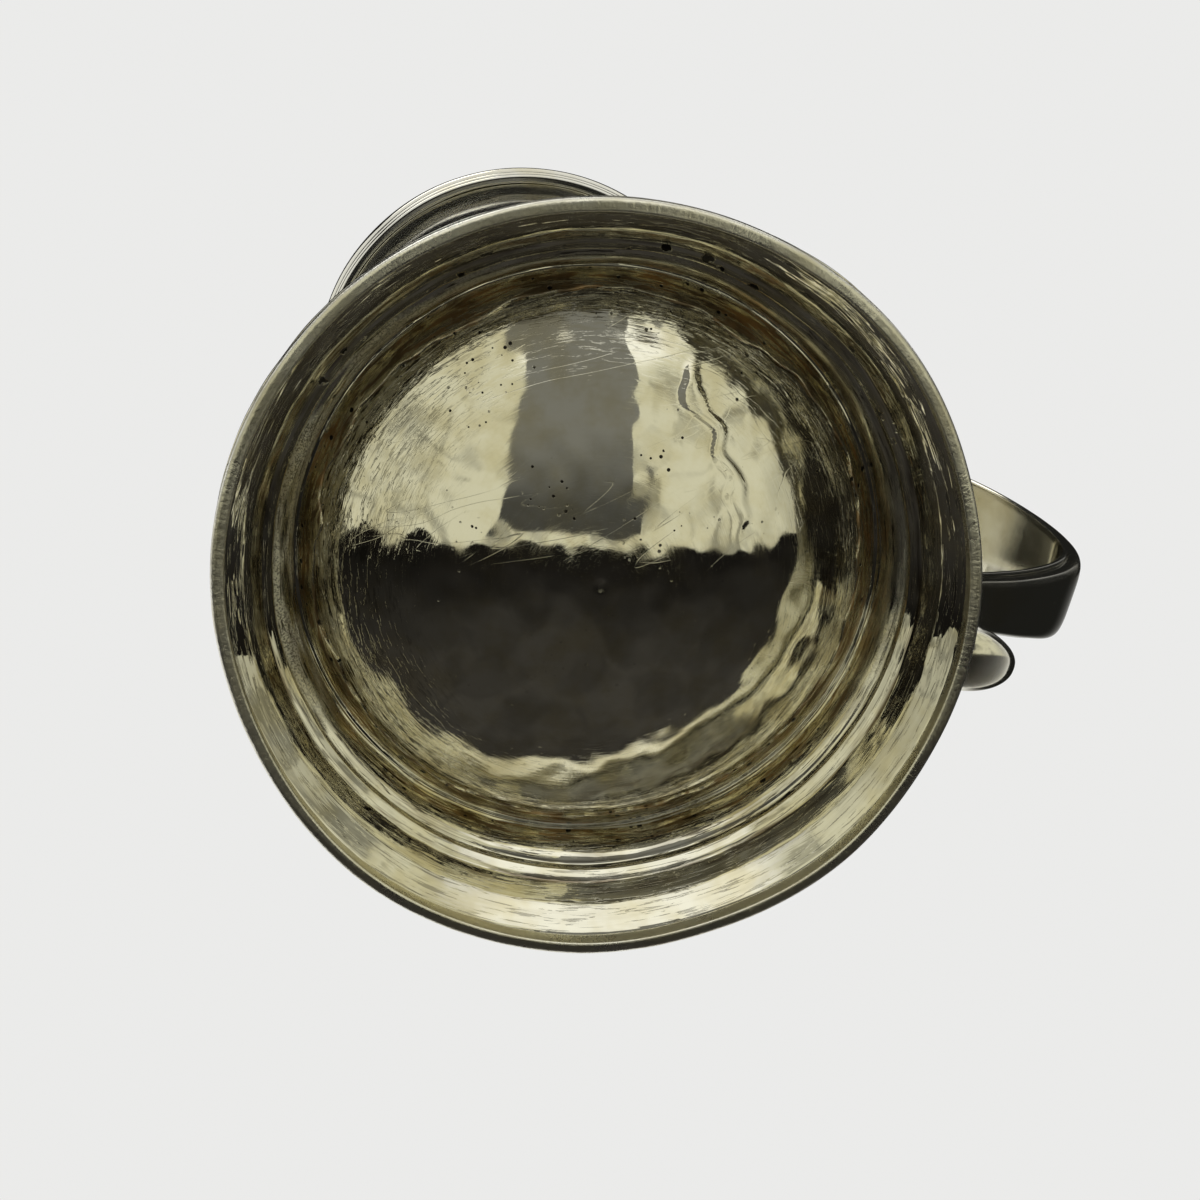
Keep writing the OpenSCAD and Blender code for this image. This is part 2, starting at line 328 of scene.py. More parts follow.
def linked(name, data):
    """An object of the given data, put into the scene."""
    made = bpy.data.objects.new(name, data)
    bpy.context.scene.collection.objects.link(made)
    return made


def smooth_object(name, vertices, faces, closed=True):
    """A smooth-shaded mesh object from points in millimetres."""
    mesh = bpy.data.meshes.new(name)
    mesh.from_pydata([tuple(v) for v in np.asarray(vertices) * MM], [], faces)
    if closed:
        face_outwards(mesh)
    mesh.shade_smooth()
    return linked(name, mesh)


def patch_faces(rows, columns):
    """Quads over a grid that is open all round."""
    return [[i * columns + j, i * columns + j + 1, (i + 1) * columns + j + 1, (i + 1) * columns + j]
            for i in range(rows - 1) for j in range(columns - 1)]


def grid_faces(rows, columns, closed):
    """Quads over a grid whose columns run round, and whose rows do too where closed."""
    i, j = np.meshgrid(np.arange(rows if closed else rows - 1), np.arange(columns), indexing="ij")
    after_i, after_j = (i + 1) % rows, (j + 1) % columns
    corners = [i * columns + j, i * columns + after_j, after_i * columns + after_j, after_i * columns + j]
    return np.stack(corners, -1).reshape(-1, 4).tolist()


def ring_object(name, grid):
    """A closed ring: the grid's rows and columns both run round."""
    rows, columns, _ = grid.shape
    return smooth_object(name, grid.reshape(-1, 3), grid_faces(rows, columns, True))


def capped_object(name, grid):
    """A closed skin over a grid whose first and last rows are each drawn together at their middle."""
    rows, columns, _ = grid.shape
    faces = grid_faces(rows, columns, False)
    first, last = rows * columns, rows * columns + 1
    for j in range(columns):
        after = (j + 1) % columns
        faces.append([first, after, j])
        faces.append([last, (rows - 1) * columns + j, (rows - 1) * columns + after])
    ends = [grid[0].mean(0), grid[-1].mean(0)]
    return smooth_object(name, np.concatenate([grid.reshape(-1, 3), ends]), faces)


# Directions of the picture, in the mug's own frame
handle_px = heading(HANDLE_TURN)
across_px = np.array([-math.sin(HANDLE_TURN), math.cos(HANDLE_TURN)])
axis_px = AXIS_PX / np.linalg.norm(AXIS_PX)
lean = np.array([axis_px @ handle_px, axis_px @ across_px, 0.0])
camera_at = CAMERA_FAR * (math.sin(TILT) * lean - math.cos(TILT) * AXIS)
view_dir = -camera_at / CAMERA_FAR
axis_seen = AXIS - view_dir[2] * view_dir
axis_seen /= np.linalg.norm(axis_seen)
beside = np.cross(view_dir, axis_seen)
picture_right = axis_px[0] * axis_seen - axis_px[1] * beside
picture_down = axis_px[1] * axis_seen + axis_px[0] * beside
up_flat = -picture_down * np.array([1, 1, 0])
up_flat /= np.linalg.norm(up_flat)
right_flat = np.cross(up_flat, -AXIS)


def turn_of(direction):
    """The angle of a direction round the axis."""
    return math.atan2(direction[1], direction[0])


# The worn foot isn't a true circle
FOOT_SPREAD = 0.03
OVAL = 0.56
OFF_CENTRE = 0.28
WEAR_FADE = 1.3


def worn_foot(grid):
    """A foot's grid pushed out of round, most at the plane that it stands on and not at its collar."""
    turn = turns(grid) - turn_of(lean)
    share = np.clip(1 - grid[..., 2] / COLLAR_TOP_Z, 0, 1) ** WEAR_FADE
    push = FOOT_SPREAD + OVAL * np.cos(2 * turn) - OFF_CENTRE * np.cos(turn)
    push += uneven(circle(FOOT_R, turn), FOOT_WAVES)
    scale = 1 + push * share / radii(grid)
    return np.stack([grid[..., 0] * scale, grid[..., 1] * scale, grid[..., 2]], -1)


# Bowl: its crease, its punch mark, where the marks fade out, and its side that is beaten flatter
BASE_CREASE = np.array([[4.3, -27.0], [4.1, -23.0], [7.8, -19.5], [11.2, -15.2], [14.0, -10.2], [15.0, -5.6]])
CREASE_H = 0.19
CREASE_FLAT = 0.4
CREASE_SIDE = 0.6
CREASE_TAPER = (0.16, 0.5)
PUNCH_R = 0.45
PUNCH_DEEP = 0.12
BASE_MARKS_FADE = 12.0
LIP_EVEN_H = 1.0
LIP_MARKS_FADE = 6.0
LINING_MARKS = 0.4
BASE_FADE = (28.8, 33.0)
BASE_PAST_COLLAR = 1.0
SLOPE_RIGHT = math.radians(4)
SLOPE_UP = math.radians(2.2)
# Dents of the base: place, radius and depth
BASE_DENTS = (
    (23.0, -2.1, 1.9, 0.12),
    (-17.5, -4.7, 3.0, 0.09),
    (-20.4, -8.5, 2.4, -0.07),
    (-21.6, 0.4, 2.6, 0.07),
    (-16.7, -13.2, 4.0, -0.06),
    (-2.0, -29.0, 2.6, 0.14),
    (12.5, -12.5, 3.6, 0.08),
    (20.5, -10.5, 3.0, -0.07),
    (9.0, -4.0, 4.2, 0.045),
    (-7.0, -4.5, 3.4, -0.03),
    (27.0, 3.5, 1.6, 0.1),
    (25.5, 11.5, 2.2, 0.1),
    (-19.3, 19.4, 2.4, 0.07),
)


def base_height(r, slope):
    """The base's height at a radius: a dome that runs out to a cone of the given slope."""
    cone_r = BASE_CURVE_R * np.sin(slope)
    dome = BASE_Z + BASE_CURVE_R - np.sqrt(BASE_CURVE_R ** 2 - np.minimum(r, cone_r) ** 2)
    return dome + np.maximum(r - cone_r, 0) * np.tan(slope)


def bowl_outside():
    """The outside profile from the middle of the base to the lip."""
    r = np.linspace(0, BASE_EDGE_R, CURVE_STEPS)
    base = np.stack([r, base_height(r, BASE_SLOPE)], 1)
    edge = base[-1]
    lip_rise = LIP_Z - WAIST_Z
    lip = np.array([LIP_R, LIP_Z])
    lip_turn = lip_rise / 3 * np.array([math.sin(LIP_LEAN), math.cos(LIP_LEAN)])
    return joined(
        base,
        bezier(edge, edge + BASE_TURN * heading(BASE_SLOPE),
               (BELLY_R, BELLY_Z - BELLY_LOWER_TURN), (BELLY_R, BELLY_Z), CURVE_STEPS),
        bezier((BELLY_R, BELLY_Z), (BELLY_R, BELLY_Z + BELLY_TURN),
               (WAIST_R, WAIST_Z - WAIST_TURN), (WAIST_R, WAIST_Z), CURVE_STEPS),
        bezier((WAIST_R, WAIST_Z), (WAIST_R, WAIST_Z + lip_rise / 3), lip - lip_turn, lip, NECK_STEPS),
    )


outside = bowl_outside()
below_belly = outside[outside[:, 1] <= BELLY_Z]
above_belly = outside[outside[:, 1] >= BELLY_Z]


def bowl_r_at(z):
    """The bowl's outside radius at a height."""
    return float(np.interp(z, outside[:, 1], outside[:, 0]))


def crease_distance(x, y):
    """How far points of the base lie from its crease."""
    nearest = np.full(x.shape, np.inf)
    for a, b in zip(BASE_CREASE[:-1], BASE_CREASE[1:]):
        run = b - a
        t = np.clip(((x - a[0]) * run[0] + (y - a[1]) * run[1]) / (run @ run), 0, 1)
        nearest = np.minimum(nearest, np.hypot(x - a[0] - t * run[0], y - a[1] - t * run[1]))
    return nearest


def crease_relief(grid):
    """How far the crease stands out: a flat-topped ridge that wanders and has tapered ends."""
    x, y = grid[..., 0], grid[..., 1]
    wander = uneven(grid, CREASE_WAVES)
    start, end = BASE_CREASE[0, 1], BASE_CREASE[-1, 1]
    run = np.clip((y - start) / (end - start), 0, 1)
    taper = smooth(run / CREASE_TAPER[0]) * smooth((1 - run) / CREASE_TAPER[1])
    ridge = 1 - smooth((crease_distance(x + wander, y) - CREASE_FLAT) / CREASE_SIDE)
    return CREASE_H * taper * ridge


def base_lift(grid):
    """How far the uneven base stands above the true one: it is beaten flatter on one side."""
    radius = radii(grid)
    turn = turns(grid)
    slope = BASE_SLOPE + SLOPE_RIGHT * np.cos(turn - turn_of(right_flat))
    slope += SLOPE_UP * np.cos(turn - turn_of(up_flat))
    fade = 1 - smooth((radius - BASE_FADE[0]) / (BASE_FADE[1] - BASE_FADE[0]))
    return fade * (base_height(radius, slope) - base_height(radius, BASE_SLOPE))


def bowl_marks(grid):
    """How far each point of the outside stands in from the true form."""
    x, y, z = grid[..., 0], grid[..., 1], grid[..., 2]
    base = np.clip((BELLY_Z - z) / BASE_MARKS_FADE, 0, 1)
    all_over = uneven(grid, BOWL_WAVES)
    marks = uneven(grid, BASE_WAVES)
    for dent_x, dent_y, dent_r, deep in BASE_DENTS:
        far = np.hypot(x - dent_x, y - dent_y) / dent_r
        marks += deep * np.exp(-far ** 2)
    marks -= crease_relief(grid)
    marks += PUNCH_DEEP * np.exp(-(radii(grid) / PUNCH_R) ** 2)
    return all_over + base * marks


def make_bowl():
    """The raised bowl: outside, lip and inside as one skin. The base takes the second material."""
    lower = spaced(below_belly, BASE_GAP)
    upper = spaced(above_belly, WALL_GAP)
    skin = joined(lower, upper)[1:]
    inside = offset(outside, BOWL_WALL)
    inside[0, 0] = 0
    inside[-1, 1] = LIP_Z
    lining = spaced(inside, LINING_GAP)[::-1][:-1]
    profile = np.concatenate([skin, lining])
    grid = revolved(profile, BOWL_COLUMNS)
    outer = (np.arange(len(profile)) < len(skin))[:, None]
    normal = grid_normals(grid, False)
    inwards = normal * np.sign(normal[0, :, 2].mean())
    inwards = np.where(outer[..., None], inwards, -inwards)
    below_lip = np.clip((LIP_Z - LIP_EVEN_H - grid[..., 2]) / LIP_MARKS_FADE, 0, 1)
    keep = below_lip * np.where(outer, 1.0, LINING_MARKS)
    lift = np.where(outer, base_lift(grid), 0.0)
    grid = grid + (bowl_marks(grid) * keep)[..., None] * inwards + lift[..., None] * AXIS
    piece = capped_object("mug_bowl", grid)
    under = (np.arange(len(profile)) < len(lower)) & (profile[:, 1] < COLLAR_TOP_Z + BASE_PAST_COLLAR)
    base_to = int(under.sum()) * BOWL_COLUMNS
    for face in piece.data.polygons:
        face.material_index = 1 if max(face.vertices) < base_to else 0
    return piece


# Lip band
def make_lip_band():
    """The bead over the lip and the reeds below it, soldered to the wall."""
    pitch = (LIP_BAND_H - 2 * LIP_BEAD_R) / LIP_REEDS
    reed_r = pitch / 2 + REED_LAP
    toe_z = MUG_H - LIP_BAND_H
    toe_r = bowl_r_at(toe_z)
    bead = (LIP_R - BOWL_WALL / 2 + LIP_STAND, LIP_Z)
    runs = [arc(bead, LIP_BEAD_R, *BEAD_ARC, BEAD_STEPS)]
    for n in reversed(range(LIP_REEDS)):
        z = toe_z + reed_r + n * pitch
        runs.append(arc((bowl_r_at(z) + LIP_STAND, z), reed_r, *REED_ARC, REED_STEPS))
    runs.append([[toe_r + BAND_TOE_W, toe_z], [toe_r, toe_z + BAND_TOE_H]])
    runs.append([[LIP_R - BAND_BACK_IN, LIP_Z - BAND_BACK_DROP], [LIP_R - BOWL_WALL, LIP_Z + BAND_TOP_RISE]])
    profile = softened(joined(*runs), BAND_SOFT)
    return ring_object("mug_lip_band", roughened(revolved(profile, LIP_COLUMNS), LIP_WAVES, True))


# Foot
def skirt_runs():
    """The skirt's inside line in runs: the flare above the wire and the cavetto up to the collar."""
    foot_r = FOOT_R - (FOOT_WIRE_W + SKIRT_WALL) / 2
    a = np.radians(np.linspace(0, 90, ARC_POINTS))
    flange = np.array([[FOOT_R, FOOT_WIRE_H]])
    ledge = [STEP_R + LEDGE_W, BEVEL_Z + LEDGE_DROP]
    flare = softened(np.array([[foot_r, FOOT_WIRE_H], FLARE_TURN, ledge]), FLARE_SOFT)
    cavetto_r = STEP_R - BEVEL
    cavetto_w = cavetto_r - COLLAR_R - RIDGE_W
    cavetto = np.stack([cavetto_r - cavetto_w * np.sin(a), CAVETTO_Z + CAVETTO_H * (1 - np.cos(a))], 1)
    return np.concatenate([flange, flare]), cavetto


def make_foot_skirt():
    """The moulded skirt, with a bevel at its step and a narrow ledge under its collar.

    Its outside takes the second material.
    """
    flare, cavetto = skirt_runs()
    collar = np.array([[COLLAR_R, COLLAR_TOP_Z]])
    bevel_top = np.array([STEP_R - BEVEL, BEVEL_Z + BEVEL])
    step = np.array([[STEP_R, BEVEL_Z], bevel_top, bevel_top + [BEVEL_GROOVE, BEVEL_GROOVE]])
    ridge = cavetto[-1:] - [RIDGE_W, RIDGE_DROP]
    inner = spaced(softened(joined(flare, step, cavetto, ridge, collar), SKIRT_INNER_SOFT), SKIRT_INNER_GAP)
    outer = offset(softened(joined(flare, cavetto, collar), SKIRT_OUTER_SOFT), -SKIRT_WALL)
    profile = np.concatenate([inner, spaced(outer, SKIRT_OUTER_GAP)[::-1]])
    grid = roughened(revolved(profile, SKIRT_COLUMNS), SKIRT_WAVES, True)
    piece = ring_object("mug_foot_skirt", worn_foot(grid))
    outside_from = len(inner) * SKIRT_COLUMNS
    for face in piece.data.polygons:
        face.material_index = 1 if min(face.vertices) >= outside_from else 0
    return piece


def make_foot_wire():
    """The square wire that the foot stands on, its edges worn round and its flat filed uneven."""
    low, high = WIRE_CORNER, FOOT_WIRE_H - WIRE_CORNER
    left, right = FOOT_R - FOOT_WIRE_W + WIRE_CORNER, FOOT_R - WIRE_CORNER
    middle = (left + right) / 2
    worn = (FOOT_R - WIRE_WORN_CORNER, WIRE_WORN_CORNER)
    profile = joined(
        arc((left, low), WIRE_CORNER, 180, 270, CORNER_STEPS),
        [[middle, 0]],
        arc(worn, WIRE_WORN_CORNER, 270, 360, 2 * CORNER_STEPS),
        arc((right, high), WIRE_CORNER, 0, 90, CORNER_STEPS),
        arc((left, high), WIRE_CORNER, 90, 180, CORNER_STEPS),
    )
    grid = revolved(profile, RING_COLUMNS)
    filed = np.abs(uneven(circle(FOOT_R, turns(grid)), WIRE_WAVES))
    inwards = np.clip((middle - radii(grid)) / (FOOT_WIRE_W / 2), -1, 1)
    bottom = np.clip(1 - grid[..., 2] / FOOT_WIRE_H, 0, 1)
    grid[..., 2] += filed * (1 - inwards) / 2 * bottom
    return ring_object("mug_foot_wire", worn_foot(grid))


def make_solder_fillet():
    """The run of solder that fills the corner between collar and base, uneven along its inner edge."""
    turn = np.linspace(0, 2 * np.pi, RING_COLUMNS, endpoint=False)
    ring = circle(COLLAR_R, turn)
    inner_r = COLLAR_R - SOLDER_W + uneven(ring, SOLDER_EDGE_WAVES)
    outer_r = COLLAR_R + SOLDER_LAP
    outer_z = CAVETTO_Z + CAVETTO_H + SOLDER_RISE
    inner_edge = np.stack([inner_r * np.cos(turn), inner_r * np.sin(turn)], -1)
    base_z = np.interp(inner_r, below_belly[:, 0], below_belly[:, 1]) + base_lift(inner_edge)
    inner_z = base_z - SOLDER_PROUD
    share = np.linspace(0, 1, EDGE_POINTS)[:, None]
    belly = SOLDER_BELLY * np.sin(np.pi * share) * (1 + uneven(ring, SOLDER_BELLY_WAVES))
    low_r = outer_r + (inner_r - outer_r) * share
    low_z = outer_z + (inner_z - outer_z) * share - belly
    r = np.concatenate([low_r, low_r[::-1]])
    z = np.concatenate([low_z, low_z[::-1] + SOLDER_T])
    grid = np.stack([r * np.cos(turn), r * np.sin(turn), z], -1)
    return ring_object("mug_solder_fillet", grid)


# Handle, drawn in the plane of its line
DOWN = np.array([0.0, -1.0])
spring = np.array([bowl_r_at(HANDLE_TOP_Z) + UPPER_PAD_T, HANDLE_TOP_Z])
reach_point = np.array([HANDLE_REACH, HANDLE_REACH_Z])
seat_x = reach("lower_handle_pad", X) + STRIP_T
seat_top = np.array([seat_x, HANDLE_SEAT_Z + HANDLE_SEAT_H / 2])
seat_foot = np.array([seat_x, HANDLE_SEAT_Z - HANDLE_SEAT_H / 2])


def handle_line():
    """The line where the handle's arched back meets its strip."""
    return spaced(joined(
        bezier(spring, spring + HANDLE_TOP_TURN * heading(HANDLE_RISE),
               reach_point - HANDLE_SHOULDER * DOWN, reach_point, HANDLE_STEPS),
        bezier(reach_point, reach_point + HANDLE_LOWER_TURN * DOWN,
               seat_top - HANDLE_SEAT_TURN * DOWN, seat_top, HANDLE_STEPS),
        [seat_foot],
    ), HANDLE_GAP)


def eased(share, start, end):
    """Passes from one size to another with flat ends."""
    part = np.clip((share - NARROW_FROM) / (NARROW_TO - NARROW_FROM), 0, 1)
    return (end + (start - end) * (1 + np.cos(np.pi * part)) / 2)[:, None]


def swell(v, fullness):
    """Fills out the shoulders of a round."""
    return np.sign(v) * np.abs(v) ** fullness


def swept(line, section):
    """Sections (across, out) carried along a line of the handle's plane, as a grid."""
    place = line[:, None, :] + section[..., 1:2] * left_of(line)[:, None, :]
    return np.stack([place[..., 0], section[..., 0], place[..., 1]], -1)


def make_handle_back(line, share):
    """The arched sheet of the handle, closed over a flat underside."""
    half_w = eased(share, HANDLE_TOP_W, HANDLE_END_W) / 2
    deep = eased(share, HANDLE_TOP_D, HANDLE_END_D)
    a = np.linspace(0, np.pi, ARC_POINTS)[None, :]
    across = half_w * swell(np.cos(a), ARCH_FULLNESS)
    arch = np.stack([across, deep * swell(np.sin(a), ARCH_FULLNESS)], -1)
    flat = half_w * np.linspace(-1, 1, EDGE_POINTS)[None, 1:-1]
    under = np.stack([flat, 0 * flat], -1)
    grid = swept(line, np.concatenate([arch, under], 1))
    return capped_object("mug_handle_back", roughened(grid, HANDLE_WAVES, False))


def make_handle_strip(line, share):
    """The strip that closes the handle, a little dished across, its edges rounded."""
    half_w = eased(share, HANDLE_TOP_W, HANDLE_END_W) / 2 + STRIP_LIP
    edge = STRIP_T / 2
    flat_w = half_w - edge
    level = 0 * half_w
    a = np.linspace(-np.pi / 2, np.pi / 2, EDGE_POINTS)[None, :]
    flat = np.linspace(1, -1, STRIP_POINTS)[None, 1:-1]
    right = np.stack([flat_w + edge * np.cos(a), level - edge + edge * np.sin(a)], -1)
    over = np.stack([flat_w * flat, level * flat], -1)
    left = np.stack([-flat_w - edge * np.cos(a), level - edge - edge * np.sin(a)], -1)
    dish = STRIP_DISH * (1 - flat ** 2) * half_w / half_w.max()
    under = np.stack([-flat_w * flat, dish - STRIP_T], -1)
    grid = swept(line, np.concatenate([right, over, left, under], 1))
    return capped_object("mug_handle_strip", grid)


def make_handle_tail():
    """The solid drop below the handle's seat, rounded off at its tip."""
    curve = bezier(seat_foot, seat_foot + TAIL_DROP * DOWN,
                   TAIL_TIP - TAIL_TURN * heading(TAIL_RISE), TAIL_TIP, CURVE_STEPS)
    line = spaced(curve, TAIL_GAP)
    u = np.linspace(0, 1, len(line))[:, None]
    full = np.sin(np.pi / 2 * np.minimum(u / TAIL_FULL_AT, 1))
    past = np.maximum(u - TAIL_FULL_AT, 0) / (TAIL_END - TAIL_FULL_AT)
    rounding = np.sqrt(1 - past ** 2)
    start_w = HANDLE_END_W / 2 + STRIP_LIP
    half_w = (start_w + (TAIL_W / 2 - start_w) * full) * rounding
    over = (HANDLE_END_D + (TAIL_OVER - HANDLE_END_D) * full) * rounding
    under = (STRIP_T + (TAIL_UNDER - STRIP_T) * full) * rounding
    a = np.linspace(0, 2 * np.pi, TAIL_COLUMNS, endpoint=False)[None, :]
    deep = np.where(np.sin(a) > 0, over, under)
    across = half_w * swell(np.cos(a), TAIL_FULLNESS)
    section = np.stack([across, deep * swell(np.sin(a), TAIL_FULLNESS)], -1)
    return capped_object("mug_handle_tail", swept(line, section))


# Material nodes
def new_material(name):
    """An empty node material and its tree."""
    material = bpy.data.materials.new(name)
    material.use_nodes = True
    material.node_tree.nodes.clear()
    return material, material.node_tree


def add(tree, kind, inputs=None, **settings):
    """A node with its settings, and with inputs that are values or other nodes' sockets."""
    made = tree.nodes.new(kind)
    for key, value in settings.items():
        setattr(made, key, value)
    for key, value in (inputs or {}).items():
        if isinstance(value, bpy.types.NodeSocket):
            tree.links.new(value, made.inputs[key])
        else:
            made.inputs[key].default_value = value
    return made


def calc(tree, operation, a, b=0.0):
    """The result of one sum."""
    return add(tree, "ShaderNodeMath", {0: a, 1: b}, operation=operation).outputs[0]


def total(tree, *values):
    """Several values added up."""
    result = values[0]
    for value in values[1:]:
        result = calc(tree, "ADD", result, value)
    return result


def times(tree, *values):
    """Several values multiplied."""
    result = values[0]
    for value in values[1:]:
        result = calc(tree, "MULTIPLY", result, value)
    return result


def rest_of(tree, value):
    """What a share leaves of one."""
    return calc(tree, "SUBTRACT", 1.0, value)


def vector(tree, operation, a, b=(0, 0, 0)):
    """The result of one sum of vectors."""
    return add(tree, "ShaderNodeVectorMath", {0: a, 1: b}, operation=operation)


def spread(tree, value, low, high):
    """A value that rises from 0 at low to 1 at high, with flat ends."""
    inputs = {"Value": value, "From Min": low, "From Max": high}
    return add(tree, "ShaderNodeMapRange", inputs, interpolation_type="SMOOTHSTEP").outputs[0]


def noise(tree, place, scale, detail=2.0, roughness=0.5, distortion=0.0):
    """A noise from 0 to 1."""
    inputs = {"Vector": place, "Scale": scale, "Detail": detail}
    inputs |= {"Roughness": roughness, "Distortion": distortion}
    return add(tree, "ShaderNodeTexNoise", inputs).outputs[0]


def tint(tree, factor, first, second):
    """One colour passing into another."""
    inputs = {0: factor, 6: first, 7: second}
    return add(tree, "ShaderNodeMix", inputs, data_type="RGBA").outputs[2]


def metres(tree):
    """Places on a piece, in metres."""
    return add(tree, "ShaderNodeTexCoord").outputs["Object"]


def millimetres(tree):
    """Places on a piece, in millimetres."""
    return vector(tree, "MULTIPLY", metres(tree), (1 / MM,) * 3).outputs[0]


def height_of(tree, place):
    """The height of a place."""
    return add(tree, "ShaderNodeSeparateXYZ", {0: place}).outputs[2]


def flat_of(tree, place):
    """A place brought down to height zero."""
    return vector(tree, "MULTIPLY", place, (1, 1, 0)).outputs[0]


def radius_of(tree, place):
    """The distance of a place from the axis."""
    return vector(tree, "LENGTH", flat_of(tree, place)).outputs["Value"]


def outward(tree, place):
    """The unit direction from the axis to a place."""
    return vector(tree, "NORMALIZE", flat_of(tree, place)).outputs[0]


def reach_along(tree, place, direction):
    """How far a place lies along a direction."""
    return vector(tree, "DOT_PRODUCT", place, tuple(direction)).outputs["Value"]


def round_place(tree, place, along, across, rising=1.0):
    """Places whose way round the axis is drawn together and whose way across it is stretched.

    Rising is 1 where the surface widens as it rises, and -1 where it narrows.
    """
    rounded = vector(tree, "MULTIPLY", outward(tree, place), (along, along, 0)).outputs[0]
    height = times(tree, height_of(tree, place), rising)
    depth = times(tree, total(tree, radius_of(tree, place), height), across)
    offset_z = add(tree, "ShaderNodeCombineXYZ", {2: depth}).outputs[0]
    return vector(tree, "ADD", rounded, offset_z).outputs[0]


def hairlines(tree, place, turn, length, gap, width, seed):
    """Fine scratches that run about one way, from 0 to 1."""
    inputs = {"Vector": place, "Angle": turn}
    turned = add(tree, "ShaderNodeVectorRotate", inputs, rotation_type="Z_AXIS").outputs[0]
    drawn = vector(tree, "MULTIPLY", turned, (1 / length, 1 / gap, 0.2)).outputs[0]
    moved = vector(tree, "ADD", drawn, (seed, 0, seed)).outputs[0]
    field = noise(tree, moved, 1.0, 1.0)
    near = calc(tree, "ABSOLUTE", calc(tree, "SUBTRACT", field, 0.5))
    line = spread(tree, near, width, 0.0)
    kept = spread(tree, noise(tree, moved, 0.6, 0.0), 0.5, 0.62)
    return times(tree, line, kept)


def pits(tree, place, scale, share, size):
    """Small pits, from 0 to 1, in a share of the cells of a given scale."""
    cells = add(tree, "ShaderNodeTexVoronoi", {"Vector": place, "Scale": scale, "Randomness": 1.0})
    chance = add(tree, "ShaderNodeSeparateColor", {0: cells.outputs["Color"]})
    chosen = spread(tree, chance.outputs[0], 1 - share, 1 - share + 0.02)
    reach_out = times(tree, chance.outputs[1], size)
    depth = calc(tree, "SUBTRACT", reach_out, cells.outputs["Distance"])
    return times(tree, spread(tree, depth, 0.0, 0.08), chosen)


def finish_metal(tree, colour, roughness, height):
    """A metal shader with its colour, its roughness and its relief in millimetres."""
    relief = add(tree, "ShaderNodeBump", {"Strength": 1.0, "Distance": MM, "Height": height})
    inputs = {"Base Color": colour, "Metallic": 1.0, "Roughness": roughness, "Normal": relief.outputs[0]}
    shader = add(tree, "ShaderNodeBsdfPrincipled", inputs)
    add(tree, "ShaderNodeOutputMaterial", {"Surface": shader.outputs[0]})


def finish_glow(tree, colour, strength):
    """A glowing shader for a card."""
    glow = add(tree, "ShaderNodeEmission", {"Color": colour, "Strength": strength})
    add(tree, "ShaderNodeOutputMaterial", {"Surface": glow.outputs[0]})


def finish_part_clear(tree, shader, share):
    """A shader of which a share is clear."""
    clear = add(tree, "ShaderNodeBsdfTransparent")
    mix = add(tree, "ShaderNodeMixShader", {0: share, 1: shader.outputs[0], 2: clear.outputs[0]})
    add(tree, "ShaderNodeOutputMaterial", {"Surface": mix.outputs[0]})


# Materials. The two numbers of a spread are the levels that it passes between, rising or falling.
SILVER = (0.87, 0.85, 0.745, 1)
SILVER_WARM = (0.76, 0.71, 0.53, 1)
TARNISH = (0.17, 0.125, 0.075, 1)
RUST = (0.48, 0.33, 0.18, 1)
SOLDER_DARK = (0.24, 0.185, 0.12, 1)
DARK_TONE = (0.09, 0.078, 0.056, 1)
PIT = (0.03, 0.027, 0.024, 1)


def plain_silver():
    """Silver that is handled and rubbed: clear, with faint polishing lines and smudges."""
    material, tree = new_material("silver_rubbed")
    place = millimetres(tree)
    smudge = noise(tree, place, 0.09, 4, 0.6)
    grain = noise(tree, place, 2.6, 2)
    brush = noise(tree, round_place(tree, place, 3, 4), 1.0, 2, 0.5)
    colour = tint(tree, spread(tree, smudge, 0.45, 0.75), SILVER, SILVER_WARM)
    smudged = times(tree, spread(tree, smudge, 0.4, 0.7), 0.07)
    brushed = times(tree, spread(tree, brush, 0.5, 0.7), 0.05)
    rough = total(tree, smudged, brushed, times(tree, grain, 0.05), 0.05)
    height = total(tree, times(tree, grain, 0.0015), times(tree, brush, 0.0015))
    finish_metal(tree, colour, rough, height)
    return material


def base_zones(tree, place):
    """Shares of the base: near its edge, past its turn, to the left, and in its upper half."""
    radius = radius_of(tree, place)
    edge = spread(tree, radius, 17, 27)
    turned = spread(tree, radius, 28.0, 30.0)
    left = spread(tree, reach_along(tree, place, -right_flat), 9, 21)
    upper = spread(tree, reach_along(tree, place, up_flat), -1, 6)
    return edge, turned, left, upper


